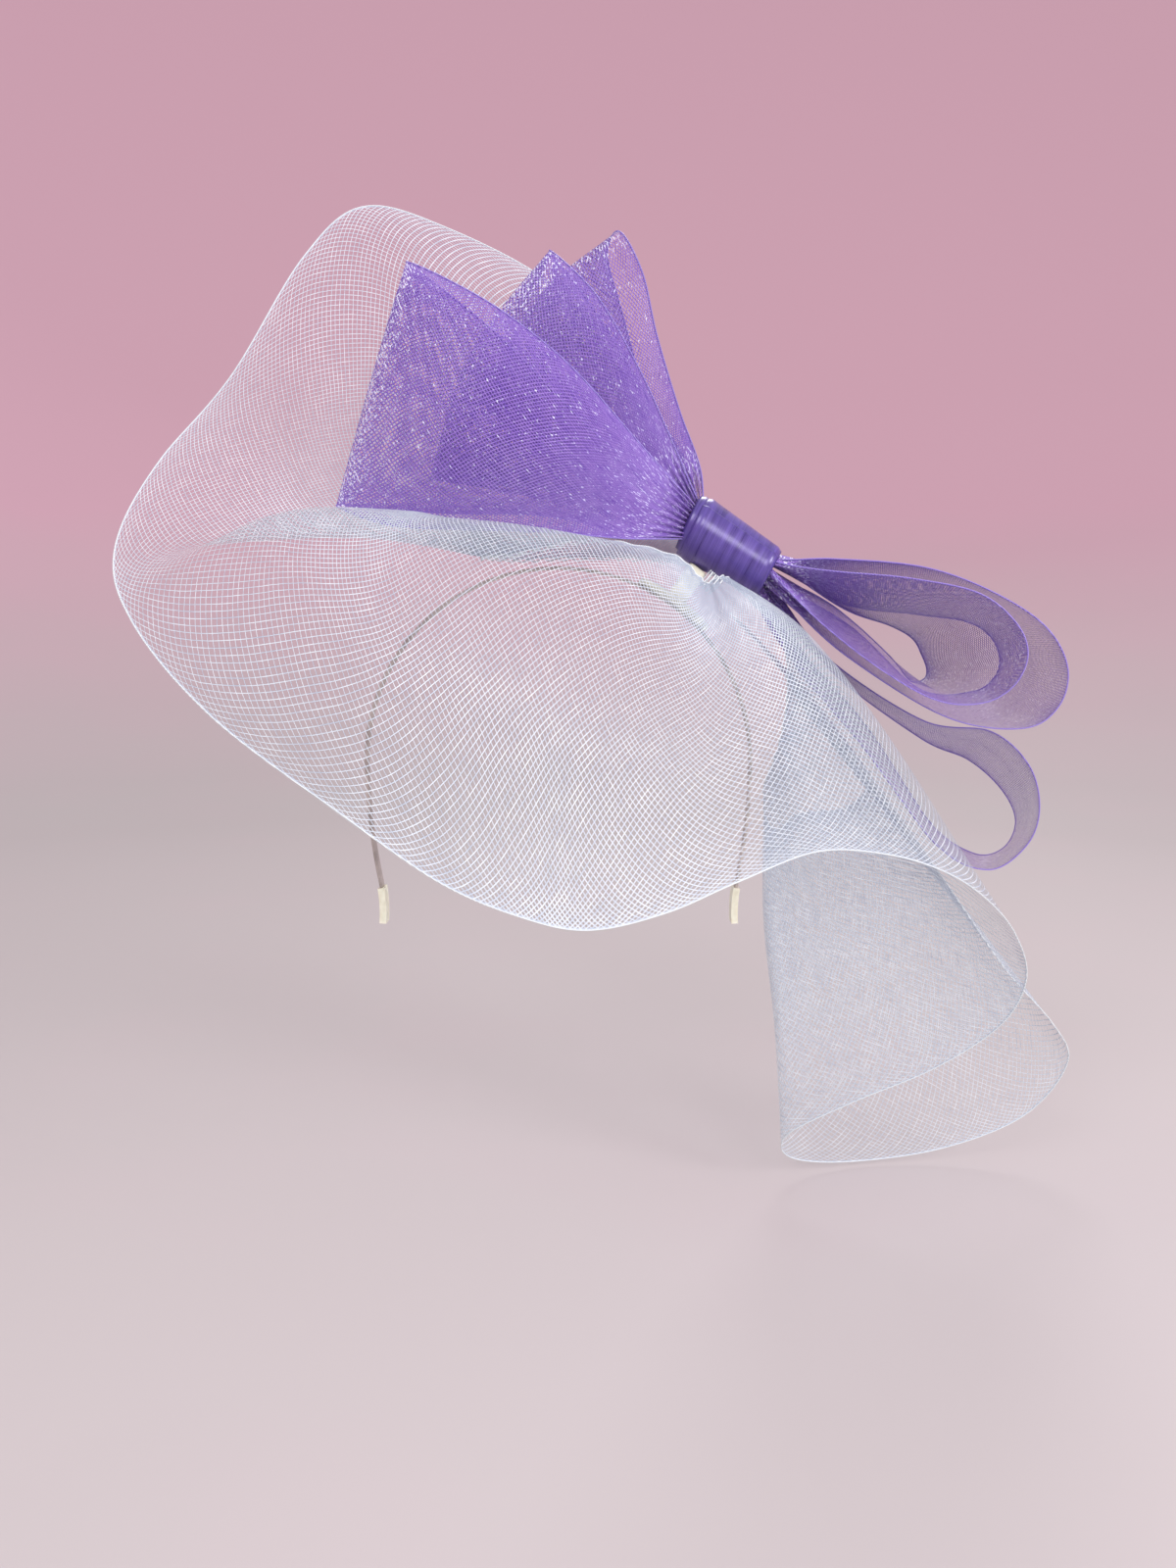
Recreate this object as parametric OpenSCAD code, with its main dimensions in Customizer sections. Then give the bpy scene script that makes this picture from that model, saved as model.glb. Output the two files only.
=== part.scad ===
// Fascinator headpiece: a gathered crinoline brim and a looped bow on a slim metal headband.
// Millimetres. +Z is up, the wearer's face looks towards -Y, +X is the bow's side.
// The origin is the centre of the headband's round crown.

/* [Headband] */
// Inside radius of the round crown of the band
band_inner_r = 75; // [65:1:90]
// Width of the band, front to back
band_width = 6; // [4:0.5:12]
// Thickness of the band metal
band_thick = 1.0; // [0.6:0.1:2]
// Length of each leg below the crown, before the flared end
leg_length = 48; // [30:1:70]
// Bend radius of the legs, which close in a little
leg_bend_r = 250; // [150:10:600]
// Length of each flared end
end_length = 15; // [8:1:25]
// Bend radius of the flared ends
end_bend_r = 60; // [30:5:150]

/* [End sleeves] */
// Wall of the sleeve that covers each end
sleeve_wall = 0.8; // [0.4:0.1:1.5]
// How far a sleeve closes past the end of the band
sleeve_cap = 1.2; // [0.5:0.1:3]

/* [Base] */
// Angle of the base from straight up, towards the bow's side
base_angle = 36; // [20:1:60]
// Half of the arc that the felt pad covers, in degrees
pad_half_arc = 12; // [6:1:20]
// Front to back size of the felt pad
pad_depth = 28; // [16:1:40]
// Thickness of the felt pad
pad_thick = 2.5; // [1:0.5:5]
// Size of the felt post under the knot, along the band and front to back
post_size = [8, 10];

/* [White crinoline] */
// Thickness of the white crinoline solid
white_thick = 0.8; // [0.5:0.1:2]
// Radius of the draw thread
thread_r = 0.5; // [0.3:0.1:1]

/* [Bow] */
// Thickness of the bow crinoline solid
bow_thick = 0.8; // [0.5:0.1:1.5]

/* [Knot] */
// Width of the satin ribbon wound round the middle of the bow
wrap_width = 36; // [25:1:50]
// Inside radius of the winding
wrap_inner_r = 10.9; // [8:0.1:16]
// Thickness of one turn of the satin, with its air
turn_thick = 0.75; // [0.4:0.05:1.5]
// How far the second turn is shifted along the knot
turn_shift = 1.5; // [0:0.1:4]
// How far the bow's side of the knot dips, in degrees
knot_tilt = 31; // [0:1:60]
// Stitches that close the end of the wrap
stitch_count = 4; // [2:1:8]

/* [Hidden] */
$fn = 180;
gap = 0.05;
seam = 0.04;
seam_angle = 0.4;
knot_mid = [67.5, 12.5, 83.9];
leg_angle = leg_length / leg_bend_r * 180 / PI;
end_angle = end_length / end_bend_r * 180 / PI;
cap_angle = sleeve_cap / end_bend_r * 180 / PI;
band_outer_r = band_inner_r + band_thick;
pad_inner_r = band_outer_r + gap;
pad_outer_r = pad_inner_r + pad_thick;
post_top_r = 94.2;
wrap_outer_r = wrap_inner_r + 2 * turn_thick;
stitch_r = 0.4;
stitch_length = 5;

// The white strip, station by station from its first gathered end. Each station runs across the
// strip: inner edge, two points in the web, outer edge.
white_path = [
  // From the knot up to the peak at the back
  [[58, 23, 76], [57, 29, 80], [55, 36, 85], [54, 42, 90]],
  [[44, 27, 80], [40, 46, 103], [35, 62, 134], [29, 80, 171]],
  [[28, 30, 82], [18, 52, 116], [7, 72, 164], [-6, 86, 208]],
  [[12, 32, 82], [-5, 56, 125], [-28, 76, 180], [-53, 88, 232]],
  [[-5, 32, 82], [-26, 54, 128], [-56, 74, 184], [-88, 84, 238]],
  // Down the far side
  [[-17, 28, 81], [-44, 47, 126], [-76, 64, 172], [-112, 74, 214]],
  [[-25, 20, 81], [-59, 34, 114], [-97, 42, 141], [-137, 48, 161]],
  [[-29, 10, 81], [-68, 12, 97], [-112, 10, 107], [-157, 12, 119]],
  [[-30, 0, 80], [-72, -8, 86], [-116, -18, 84], [-160, -28, 81]],
  // Across the front, low over the brow
  [[-26, -6, 80], [-64, -20, 94], [-104, -38, 90], [-146, -52, 54]],
  [[-18, -10, 80], [-55, -30, 94], [-86, -62, 73], [-112, -78, 23]],
  [[-7, -12, 82], [-46, -38, 90], [-58, -84, 48], [-66, -100, -6]],
  [[8, -12, 85], [-26, -42, 86], [-33, -92, 36], [-34, -106, -27]],
  [[26, -12, 84], [0, -42, 79], [-10, -92, 27], [-9, -110, -37]],
  [[45, -13, 79], [25, -42, 66], [12, -92, 17], [12, -110, -41]],
  [[53, -14, 72], [43, -38, 49], [34, -84, 10], [36, -104, -37]],
  [[56, -15, 69], [56, -34, 43], [53, -74, 6], [59, -92, -30]],
  // Round the lobe on the bow's side
  [[58, -14, 70], [68, -34, 46], [75, -62, 12], [88, -70, -24]],
  [[60, -12, 71], [80, -28, 54], [97, -46, 18], [116, -50, -28]],
  [[63, -9, 72], [90, -18, 53], [117, -28, 15], [142, -32, -37]],
  [[66, -5, 71], [96, -8, 50], [130, -14, 6], [163, -18, -50]],
  [[69, 0, 68], [101, 4, 44], [138, 2, -5], [182, -2, -69]],
  // Back behind the lobe, the inner edge let down
  [[88, 9, 50], [112, 13, 20], [146, 16, -27], [194, 14, -92]],
  [[93, 20, 28], [113, 24, -10], [145, 28, -58], [188, 28, -116]],
  [[92, 28, 8], [105, 34, -35], [130, 38, -85], [163, 38, -140]],
  [[90, 36, -4], [96, 43, -52], [110, 48, -105], [129, 46, -159]],
  [[88, 44, -14], [90, 50, -68], [97, 54, -120], [102, 56, -178]],
  // The tail, out again and back up to the gather
  [[90, 53, -28], [92, 60, -78], [100, 64, -132], [108, 69, -194]],
  [[96, 60, -36], [102, 68, -85], [118, 74, -140], [138, 80, -201]],
  [[108, 68, -30], [124, 76, -80], [150, 82, -135], [183, 86, -197]],
  [[130, 74, -28], [152, 80, -70], [184, 84, -122], [222, 84, -180]],
  [[140, 76, -18], [166, 80, -55], [200, 80, -100], [238, 76, -152]],
  [[134, 76, -8], [160, 78, -42], [192, 74, -82], [227, 66, -128]],
  [[112, 70, 14], [135, 72, -14], [165, 68, -52], [200, 60, -95]],
  [[96, 56, 36], [114, 62, 20], [138, 62, -12], [165, 56, -52]],
  [[82, 40, 50], [92, 46, 40], [108, 50, 24], [124, 48, 2]],
  [[70, 26, 59], [72, 26, 56], [75, 26, 53], [78, 26, 50]],
];

// Each bow strip: upper loop, middle inside the knot, then right-hand loop. A station holds one
// edge, the middle and the other edge of the strip.
front_path = [
  [[61, 5.5, 92.5], [59, 5.5, 88.5], [57.5, 5.5, 84.5]],
  [[57, 5.5, 96], [55, 5.5, 91.5], [53, 5.5, 87]],
  [[32, -4, 121], [30, -8, 103], [26, -8, 86]],
  [[5, -9, 149], [2, -17, 116], [-3, -12, 88]],
  [[-20, -9, 169], [-28, -18, 128], [-35, -12, 89]],
  [[-42, -6, 182], [-52, -12, 138], [-64, -9, 91]],
  [[-57, -1, 189], [-71, -2, 145], [-85, -3, 99]],
  [[-46, 3, 182], [-57, 5, 145], [-67, 3, 98]],
  [[-22, 5, 163], [-32, 9, 131], [-38, 6, 97]],
  [[12, 8, 130], [4, 9, 112], [-4, 7, 96]],
  [[37, 9, 110], [33, 9, 98], [29, 8, 89]],
  [[57, 8.5, 96], [55, 8.5, 91.5], [53, 8.5, 87]],
  [[69, 5.5, 87], [68, 7, 85], [67, 8, 83]],
  [[84, 4, 78.5], [84, 7, 78.5], [84, 9.5, 78.5]],
  [[106, -3, 74], [113, 18, 68], [120, 40, 61]],
  [[134, -12, 70], [140, 27, 62], [146, 66, 54]],
  [[159, -14, 65], [160, 33, 57], [160, 80, 49]],
  [[174, -14, 54], [170, 35, 48], [166, 84, 42]],
  [[179, -14, 42], [174, 35, 38], [169, 84, 35]],
  [[175, -12, 30], [171, 35, 30], [167, 82, 30]],
  [[164, -10, 23], [162, 34, 26], [159, 78, 29]],
  [[147, -10, 24], [146, 26, 33], [145, 62, 41]],
  [[127, -8, 35], [127, 20, 45], [127, 48, 55]],
  [[103, 0, 54], [106, 16, 58.5], [109, 32, 65]],
  [[82, 4, 75], [82, 7, 75], [82, 9.5, 75]],
  [[78, 4, 77], [78, 7, 77], [78, 9.5, 77]],
];

middle_path = [
  [[61, 11, 92.5], [59, 11, 88.5], [57.5, 11, 84.5]],
  [[57.5, 11, 97], [55.5, 11, 92], [53.5, 11, 87.5]],
  [[45, 13, 125], [38, 13, 110], [29, 13, 97]],
  [[31, 15, 155], [14, 15, 129], [-4, 13, 103]],
  [[14, 19, 184], [-10, 19, 147], [-33, 15, 109]],
  [[-4, 26, 202], [-36, 24, 161], [-52, 19, 112]],
  [[12, 33, 184], [-10, 30, 149], [-32, 24, 112]],
  [[34, 29, 149], [16, 26, 129], [-2, 21, 107]],
  [[48, 21, 120], [40, 19, 108], [31, 16.5, 96]],
  [[57.5, 14, 97], [55.5, 14, 92], [53.5, 14, 87.5]],
  [[70, 12, 88], [69, 13, 86], [68, 14, 84]],
  [[85, 11, 80], [85, 13, 80], [85, 15, 80]],
  [[110, 14, 80], [117, 36, 72], [123, 58, 64]],
  [[150, 20, 76], [158, 58, 68], [166, 96, 60]],
  [[181, 24, 66], [187, 67, 62], [194, 110, 58]],
  [[201, 24, 53], [204, 69, 52], [208, 114, 51]],
  [[210, 24, 36], [211, 69, 38], [213, 114, 40]],
  [[206, 24, 20], [208, 69, 25], [210, 114, 30]],
  [[191, 24, 12], [194, 68, 13], [198, 112, 24]],
  [[158, 22, 18], [163, 60, 18], [169, 98, 26.5]],
  [[114, 16, 43], [119, 36, 48.5], [125, 56, 55]],
  [[81, 11, 73.5], [81, 13, 73.5], [81, 15, 73.5]],
  [[77, 11, 76], [77, 13, 76], [77, 15, 76]],
];

back_path = [
  [[61, 17, 92.5], [59, 17, 88.5], [57.5, 17, 84.5]],
  [[58, 17, 98], [56, 17, 93], [54, 17, 88.5]],
  [[57, 25, 117], [44, 26, 113], [31, 25, 107]],
  [[49, 34, 142], [21, 35, 132], [-2, 32, 120]],
  [[40, 40, 173], [1, 40, 160], [-22, 36, 136]],
  [[34, 42, 198], [-5, 42, 180], [-31, 38, 145]],
  [[25, 46, 215], [-6, 46, 193], [-34, 44, 152]],
  [[20, 52, 208], [-5, 52, 185], [-30, 49, 150]],
  [[25, 53, 189], [5, 52, 165], [-17, 48, 140]],
  [[36, 48, 152], [22, 46, 135], [3, 42, 121]],
  [[52, 34, 121], [42, 34, 112], [32, 32, 104]],
  [[58, 20, 98], [56, 20, 93], [54, 20, 88.5]],
  [[69, 17, 86], [68, 18, 84], [67, 19, 82]],
  [[80, 16.5, 71.7], [80, 18.5, 71.7], [80, 20.5, 71.7]],
  [[113, 28, 39], [117, 44, 36], [121, 60, 33]],
  [[153, 34, 15], [161, 62, 10], [169, 92, 3]],
  [[183, 38, 10], [192, 76, 1], [198, 112, -9]],
  [[200, 40, -5], [210, 80, -14], [217, 120, -25]],
  [[205, 40, -24], [217, 82, -33], [225, 122, -41]],
  [[200, 40, -40], [210, 80, -47], [219, 120, -54]],
  [[184, 38, -50], [194, 76, -55], [203, 114, -56]],
  [[160, 34, -39], [167, 66, -41], [176, 98, -39]],
  [[126, 26, 4], [132, 48, 5], [139, 70, 8]],
  [[96, 19, 38], [100, 30, 40], [104, 42, 42]],
  [[79, 16.5, 69.5], [79, 18.5, 69.5], [79, 20.5, 69.5]],
  [[75, 16.5, 72], [75, 18.5, 72], [75, 20.5, 72]],
];

// The draw thread runs just under the inner edge of the white strip.
thread_first = 1;
thread_last = 20;
thread_drop = 1.6;

// Smooth curve through a list of points: one span, then the whole list.
function span(p, q, r, s, t) =
  (2 * q + (r - p) * t + (2 * p - 5 * q + 4 * r - s) * t * t
  + (3 * q - p - 3 * r + s) * t * t * t) / 2;
function curve(pts, n) = let (last = len(pts) - 1) concat(
  [for (i = [0 : last - 1], k = [0 : n - 1])
    span(pts[max(i - 1, 0)], pts[i], pts[i + 1], pts[min(i + 2, last)], k / n)],
  [pts[last]]);

// Grid of points over a strip: smooth across each station, then along the strip.
function grid(path, across, along) =
  let (rows = [for (s = path) curve(s, across)])
  let (lines = [for (j = [0 : len(rows[0]) - 1]) curve([for (r = rows) r[j]], along)])
  [for (i = [0 : len(lines[0]) - 1]) [for (line = lines) line[i]]];

// Unit normal of the grid at one point.
function grid_normal(g, i, j) =
  let (a = g[min(i + 1, len(g) - 1)][j] - g[max(i - 1, 0)][j])
  let (b = g[i][min(j + 1, len(g[0]) - 1)] - g[i][max(j - 1, 0)])
  let (c = cross(a, b))
  c / max(norm(c), 0.001);

// A strip as a thin closed solid: one skin on each side of the grid and a border round it.
module strip(path, thick, across, along) {
  g = grid(path, across, along);
  m = len(g);
  n = len(g[0]);
  upper = [for (i = [0 : m - 1], j = [0 : n - 1]) g[i][j] + grid_normal(g, i, j) * thick / 2];
  lower = [for (i = [0 : m - 1], j = [0 : n - 1]) g[i][j] - grid_normal(g, i, j) * thick / 2];
  low = m * n;
  top_faces = [for (i = [0 : m - 2], j = [0 : n - 2], k = [0, 1])
    let (a = i * n + j)
    k == 0 ? [a, a + n, a + n + 1] : [a, a + n + 1, a + 1]];
  low_faces = [for (i = [0 : m - 2], j = [0 : n - 2], k = [0, 1])
    let (a = low + i * n + j)
    k == 0 ? [a, a + n + 1, a + n] : [a, a + 1, a + n + 1]];
  rim = concat(
    [for (j = [0 : n - 1]) j],
    [for (i = [1 : m - 1]) i * n + n - 1],
    [for (j = [n - 2 : -1 : 0]) (m - 1) * n + j],
    [for (i = [m - 2 : -1 : 1]) i * n]);
  count = len(rim);
  side_faces = [for (q = [0 : count - 1], k = [0, 1])
    let (a = rim[q])
    let (b = rim[(q + 1) % count])
    k == 0 ? [a, b, b + low] : [a, b + low, a + low]];
  polyhedron(concat(upper, lower), concat(top_faces, low_faces, side_faces), convexity = 10);
}

// A cord as a closed tube along a list of points.
module cord(pts, r, sides) {
  m = len(pts);
  rings = [for (i = [0 : m - 1])
    let (d = pts[min(i + 1, m - 1)] - pts[max(i - 1, 0)])
    let (t = d / norm(d))
    let (u = cross(t, [0, 1, 0.3]))
    let (e = u / norm(u))
    let (f = cross(t, e))
    for (k = [0 : sides - 1])
      pts[i] + r * (e * cos(360 * k / sides) + f * sin(360 * k / sides))];
  walls = [for (i = [0 : m - 2], k = [0 : sides - 1], h = [0, 1])
    let (a = i * sides + k)
    let (b = i * sides + (k + 1) % sides)
    h == 0 ? [a, b, b + sides] : [a, b + sides, a + sides]];
  first = [[for (k = [sides - 1 : -1 : 0]) k]];
  last = [[for (k = [0 : sides - 1]) (m - 1) * sides + k]];
  polyhedron(concat(rings), concat(walls, first, last), convexity = 6);
}

// One arc of band strip in the XZ plane, about a centre, from one angle over a sweep.
module band_arc(centre, inner, from, sweep, thick, width) {
  translate([centre[0], 0, centre[1]])
    rotate([90, 0, 0])
      rotate([0, 0, from])
        rotate_extrude(angle = sweep)
          translate([inner, -width / 2])
            square([thick, width]);
}

leg_centre = [band_inner_r - leg_bend_r, 0];
flare_reach = leg_bend_r + band_thick + end_bend_r;
flare_centre = leg_centre + flare_reach * [cos(leg_angle), -sin(leg_angle)];
flare_from = 180 - leg_angle;

// A leg starts a little way up inside the crown, and is a hair slimmer so that the two join cleanly.
module leg() {
  band_arc(leg_centre, leg_bend_r + seam, -leg_angle, leg_angle + seam_angle,
    band_thick - 2 * seam, band_width - 2 * seam);
  band_arc(flare_centre, end_bend_r + seam, flare_from, end_angle,
    band_thick - 2 * seam, band_width - 2 * seam);
}

module headband() {
  color([0.72, 0.72, 0.74]) {
    band_arc([0, 0], band_inner_r, 0, 180, band_thick, band_width);
    leg();
    mirror([1, 0, 0])
      leg();
  }
}

// A sleeve with a closed end, slid over one flared end of the band.
module sleeve() {
  difference() {
    band_arc(flare_centre, end_bend_r - sleeve_wall, flare_from + 2,
      end_angle - 2 + cap_angle, band_thick + 2 * sleeve_wall, band_width + 2 * sleeve_wall);
    band_arc(flare_centre, end_bend_r - gap, flare_from,
      end_angle + 0.05, band_thick + 2 * gap, band_width + 2 * gap);
  }
}

module tip_right() {
  color([0.9, 0.87, 0.78])
    sleeve();
}

module tip_left() {
  color([0.9, 0.87, 0.78])
    mirror([1, 0, 0])
      sleeve();
}

// Curved felt pad on the outside of the band.
module base_pad() {
  color([0.93, 0.91, 0.84])
    band_arc([0, 0], pad_inner_r, 90 - base_angle - pad_half_arc, 2 * pad_half_arc,
      pad_thick, pad_depth);
}

// Felt post that carries the knot, above the pad.
module base_post() {
  start = pad_outer_r + gap;
  color([0.93, 0.91, 0.84])
    rotate([0, base_angle, 0])
      difference() {
        translate([-post_size[0] / 2, knot_mid[1] - post_size[1] / 2, start - 1])
          cube([post_size[0], post_size[1], post_top_r - start + 1]);
        rotate([90, 0, 0])
          cylinder(r = start, h = 2 * pad_depth + 40, center = true);
      }
}

module white_crin() {
  color([0.9, 0.92, 0.95])
    strip(white_path, white_thick, 3, 3);
}

module gather_thread() {
  edge = [for (i = [thread_first : thread_last]) white_path[i][0]];
  line = curve(edge, 3);
  color([0.95, 0.95, 0.95])
    cord([for (p = line) p - thread_drop * [p[0], 0, p[2]] / norm([p[0], 0, p[2]])], thread_r, 6);
}

module bow_strip_front() {
  color([0.5, 0.38, 0.78])
    strip(front_path, bow_thick, 3, 4);
}

module bow_strip_middle() {
  color([0.45, 0.34, 0.74])
    strip(middle_path, bow_thick, 3, 4);
}

module bow_strip_back() {
  color([0.4, 0.3, 0.7])
    strip(back_path, bow_thick, 3, 4);
}

// Places things along the knot's axis.
module at_knot() {
  translate(knot_mid)
    rotate([0, 90 + knot_tilt, 0])
      children();
}

// Two turns of satin, the outer one shifted so that a step shows at each end.
module knot_wrap() {
  color([0.3, 0.2, 0.6])
    at_knot()
      difference() {
        union() {
          translate([0, 0, -wrap_width / 2 - turn_shift / 2])
            cylinder(r = wrap_inner_r + turn_thick, h = wrap_width);
          translate([0, 0, -wrap_width / 2 + turn_shift / 2])
            cylinder(r = wrap_outer_r, h = wrap_width);
        }
        cylinder(r = wrap_inner_r, h = 2 * wrap_width, center = true);
      }
}

// Short stitches across the end of the satin, at the back of the knot.
module wrap_stitches() {
  pitch = wrap_width / (stitch_count + 1);
  color([0.25, 0.16, 0.5])
    at_knot()
      for (i = [1 : stitch_count])
        translate([0, wrap_outer_r + stitch_r + gap, i * pitch - wrap_width / 2])
          rotate([0, 90, 0])
            cylinder(r = stitch_r, h = stitch_length, center = true);
}

headband();
tip_left();
tip_right();
base_pad();
base_post();
white_crin();
gather_thread();
bow_strip_front();
bow_strip_middle();
bow_strip_back();
knot_wrap();
wrap_stitches();
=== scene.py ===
"""Looks of the fascinator headpiece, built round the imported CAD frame. Metres, +Z up."""

import math

import bpy
import numpy as np
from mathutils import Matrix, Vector


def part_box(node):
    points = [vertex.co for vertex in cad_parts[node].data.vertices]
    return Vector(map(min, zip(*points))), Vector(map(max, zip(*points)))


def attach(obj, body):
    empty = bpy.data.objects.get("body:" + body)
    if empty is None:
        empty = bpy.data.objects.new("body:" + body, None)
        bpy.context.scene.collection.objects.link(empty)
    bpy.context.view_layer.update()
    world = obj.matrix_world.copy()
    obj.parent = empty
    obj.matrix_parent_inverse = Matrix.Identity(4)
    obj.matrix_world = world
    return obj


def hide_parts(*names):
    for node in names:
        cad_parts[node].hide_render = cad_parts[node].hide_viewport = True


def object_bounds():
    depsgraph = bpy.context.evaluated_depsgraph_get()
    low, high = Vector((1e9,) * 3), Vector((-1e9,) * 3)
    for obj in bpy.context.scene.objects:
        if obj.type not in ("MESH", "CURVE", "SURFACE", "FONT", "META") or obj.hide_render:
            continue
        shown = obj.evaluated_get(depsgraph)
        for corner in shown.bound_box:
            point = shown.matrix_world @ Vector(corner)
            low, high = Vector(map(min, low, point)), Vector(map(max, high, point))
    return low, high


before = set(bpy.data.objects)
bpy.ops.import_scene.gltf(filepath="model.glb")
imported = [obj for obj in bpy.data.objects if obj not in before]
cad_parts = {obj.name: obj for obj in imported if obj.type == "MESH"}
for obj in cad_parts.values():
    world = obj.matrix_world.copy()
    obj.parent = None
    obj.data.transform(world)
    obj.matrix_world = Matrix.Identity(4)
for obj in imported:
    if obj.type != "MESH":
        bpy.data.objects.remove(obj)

CAD_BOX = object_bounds()
MM = 0.001

# ---------------------------------------------------------------- sizes, in metres
WHITE_WIDTH = 0.150
WHITE_SLACK = 1.08          # flat length over the middle line, for small pleats and waves
BOW_WIDTH = 0.100
WRAP_WIDTH = 0.036
WRAP_TURNS = 2.3
WRAP_RADIUS = 0.0115        # mean radius of the satin winding
WRAP_THICK = 0.00028
WHITE_CORD_RADIUS = 0.00026
BOW_CORD_RADIUS = 0.0003
DRAW_THREAD_RADIUS = 0.00032
WRAP_STITCH_RADIUS = 0.0003
GATHER_STITCH_RADIUS = 0.00028
KNOT_MID = np.array([67.5, 12.5, 83.9]) * MM
KNOT_TILT = math.radians(31)
PAD_ANGLE = math.radians(36)
PAD_LENGTH, PAD_THICK = 0.0325, 0.0024
POST_SIZE = (0.0082, 0.0102, 0.0152)
BAND_OUTER = 0.076
GLUE_GAP = 0.0001           # between the band and the pad
FLOOR_GAP = 0.003           # between the floor and the lowest point

# Steps between neighbouring points of a strip's table: across it, then along it
WHITE_STEPS = (14, 18)
BOW_STEPS = (36, 14)
THREAD_STATIONS = (1, 20)   # the stations between which the draw thread runs

# ---------------------------------------------------------------- shapes of the strips
# The same stations as in the CAD source, in millimetres: each runs across the strip.
WHITE_PATH = [
    # From the knot up to the peak at the back
    [[58, 23, 76], [57, 29, 80], [55, 36, 85], [54, 42, 90]],
    [[44, 27, 80], [40, 46, 103], [35, 62, 134], [29, 80, 171]],
    [[28, 30, 82], [18, 52, 116], [7, 72, 164], [-6, 86, 208]],
    [[12, 32, 82], [-5, 56, 125], [-28, 76, 180], [-53, 88, 232]],
    [[-5, 32, 82], [-26, 54, 128], [-56, 74, 184], [-88, 84, 238]],
    # Down the far side
    [[-17, 28, 81], [-44, 47, 126], [-76, 64, 172], [-112, 74, 214]],
    [[-25, 20, 81], [-59, 34, 114], [-97, 42, 141], [-137, 48, 161]],
    [[-29, 10, 81], [-68, 12, 97], [-112, 10, 107], [-157, 12, 119]],
    [[-30, 0, 80], [-72, -8, 86], [-116, -18, 84], [-160, -28, 81]],
    # Across the front, low over the brow
    [[-26, -6, 80], [-64, -20, 94], [-104, -38, 90], [-146, -52, 54]],
    [[-18, -10, 80], [-55, -30, 94], [-86, -62, 73], [-112, -78, 23]],
    [[-7, -12, 82], [-46, -38, 90], [-58, -84, 48], [-66, -100, -6]],
    [[8, -12, 85], [-26, -42, 86], [-33, -92, 36], [-34, -106, -27]],
    [[26, -12, 84], [0, -42, 79], [-10, -92, 27], [-9, -110, -37]],
    [[45, -13, 79], [25, -42, 66], [12, -92, 17], [12, -110, -41]],
    [[53, -14, 72], [43, -38, 49], [34, -84, 10], [36, -104, -37]],
    [[56, -15, 69], [56, -34, 43], [53, -74, 6], [59, -92, -30]],
    # Round the lobe on the bow's side
    [[58, -14, 70], [68, -34, 46], [75, -62, 12], [88, -70, -24]],
    [[60, -12, 71], [80, -28, 54], [97, -46, 18], [116, -50, -28]],
    [[63, -9, 72], [90, -18, 53], [117, -28, 15], [142, -32, -37]],
    [[66, -5, 71], [96, -8, 50], [130, -14, 6], [163, -18, -50]],
    [[69, 0, 68], [101, 4, 44], [138, 2, -5], [182, -2, -69]],
    # Back behind the lobe, the inner edge let down
    [[88, 9, 50], [112, 13, 20], [146, 16, -27], [194, 14, -92]],
    [[93, 20, 28], [113, 24, -10], [145, 28, -58], [188, 28, -116]],
    [[92, 28, 8], [105, 34, -35], [130, 38, -85], [163, 38, -140]],
    [[90, 36, -4], [96, 43, -52], [110, 48, -105], [129, 46, -159]],
    [[88, 44, -14], [90, 50, -68], [97, 54, -120], [102, 56, -178]],
    # The tail, out again and back up to the gather
    [[90, 53, -28], [92, 60, -78], [100, 64, -132], [108, 69, -194]],
    [[96, 60, -36], [102, 68, -85], [118, 74, -140], [138, 80, -201]],
    [[108, 68, -30], [124, 76, -80], [150, 82, -135], [183, 86, -197]],
    [[130, 74, -28], [152, 80, -70], [184, 84, -122], [222, 84, -180]],
    [[140, 76, -18], [166, 80, -55], [200, 80, -100], [238, 76, -152]],
    [[134, 76, -8], [160, 78, -42], [192, 74, -82], [227, 66, -128]],
    [[112, 70, 14], [135, 72, -14], [165, 68, -52], [200, 60, -95]],
    [[96, 56, 36], [114, 62, 20], [138, 62, -12], [165, 56, -52]],
    [[82, 40, 50], [92, 46, 40], [108, 50, 24], [124, 48, 2]],
    [[70, 26, 59], [72, 26, 56], [75, 26, 53], [78, 26, 50]],
]

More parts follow.
